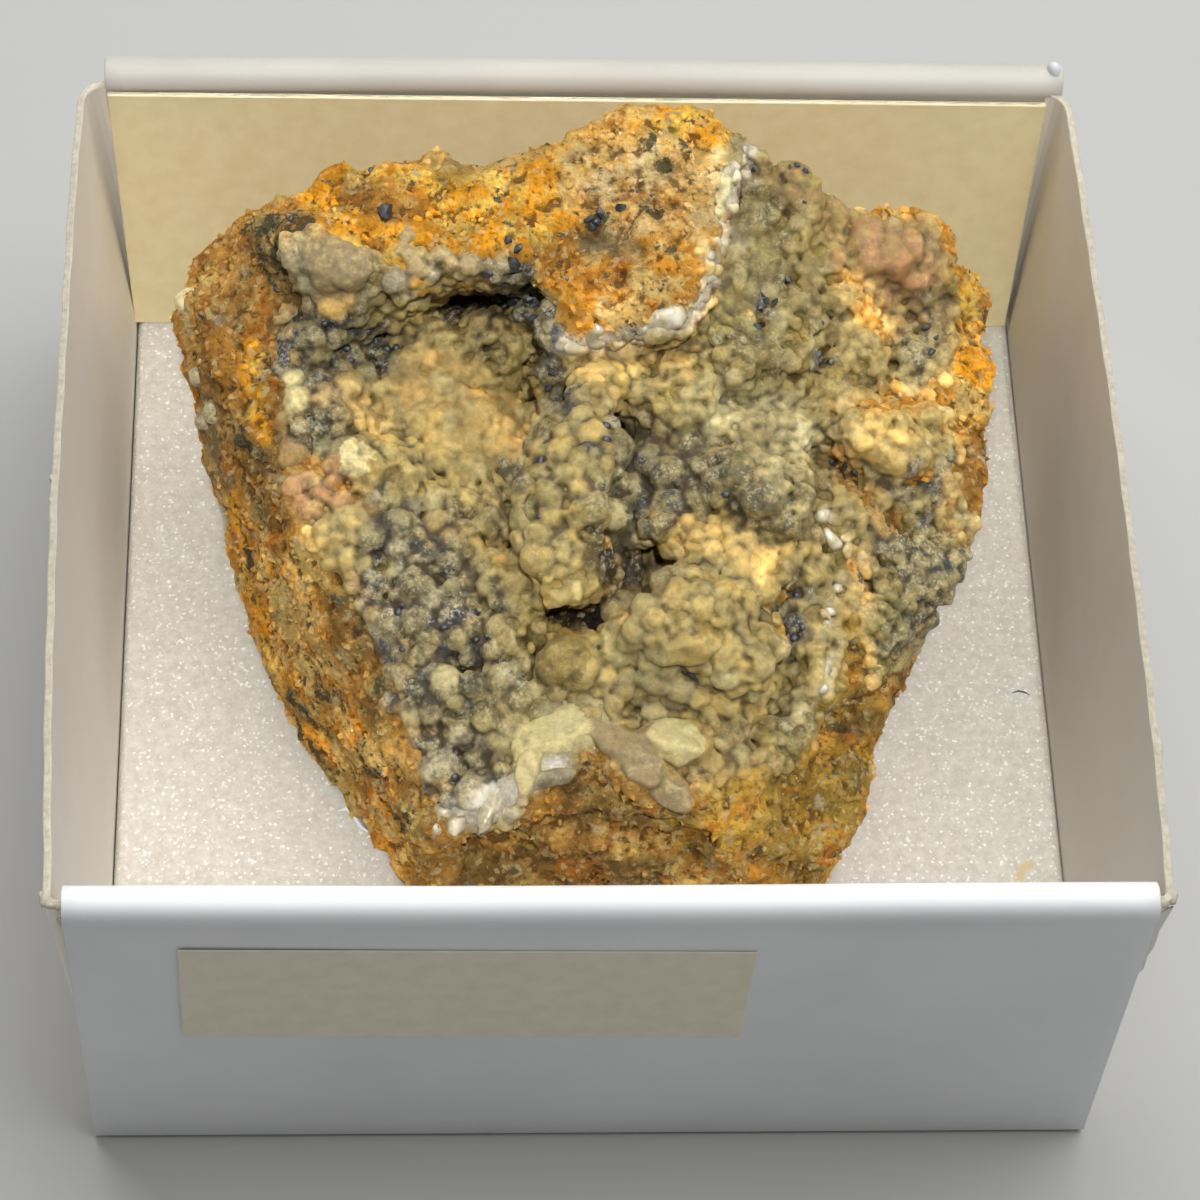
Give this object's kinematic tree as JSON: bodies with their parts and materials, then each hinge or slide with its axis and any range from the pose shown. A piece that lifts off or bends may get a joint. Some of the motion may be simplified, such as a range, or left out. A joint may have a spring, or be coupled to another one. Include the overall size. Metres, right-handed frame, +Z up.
{
  "type": "smithsonite specimen in a tray",
  "caption": "Botryoidal smithsonite on iron-stained matrix, resting on a foam pad in an open white card tray with a plain label card and a plain sticker.",
  "frame": {"origin": "centre of the tray's underside", "axes": "+Z up, +X along the tray's front to the right, +Y from the tray's front to its back"},
  "size_m": [0.0408, 0.0394, 0.0227],
  "materials": {
    "smithsonite": "waxy yellow, olive and grey botryoidal crust on rough orange limonite matrix, with glassy dark grains",
    "coated_card": "white coated card with a soft sheen and cream raw edges",
    "white_foam": "off-white fine foam that sparkles slightly",
    "cream_card": "matte cream card",
    "cream_paper": "matte cream label paper"
  },
  "bodies": {
    "root": {"specimen": "smithsonite", "card_tray": "coated_card", "foam_pad": "white_foam", "label_card": "cream_card", "front_sticker": "cream_paper"}
  },
  "joints": []
}
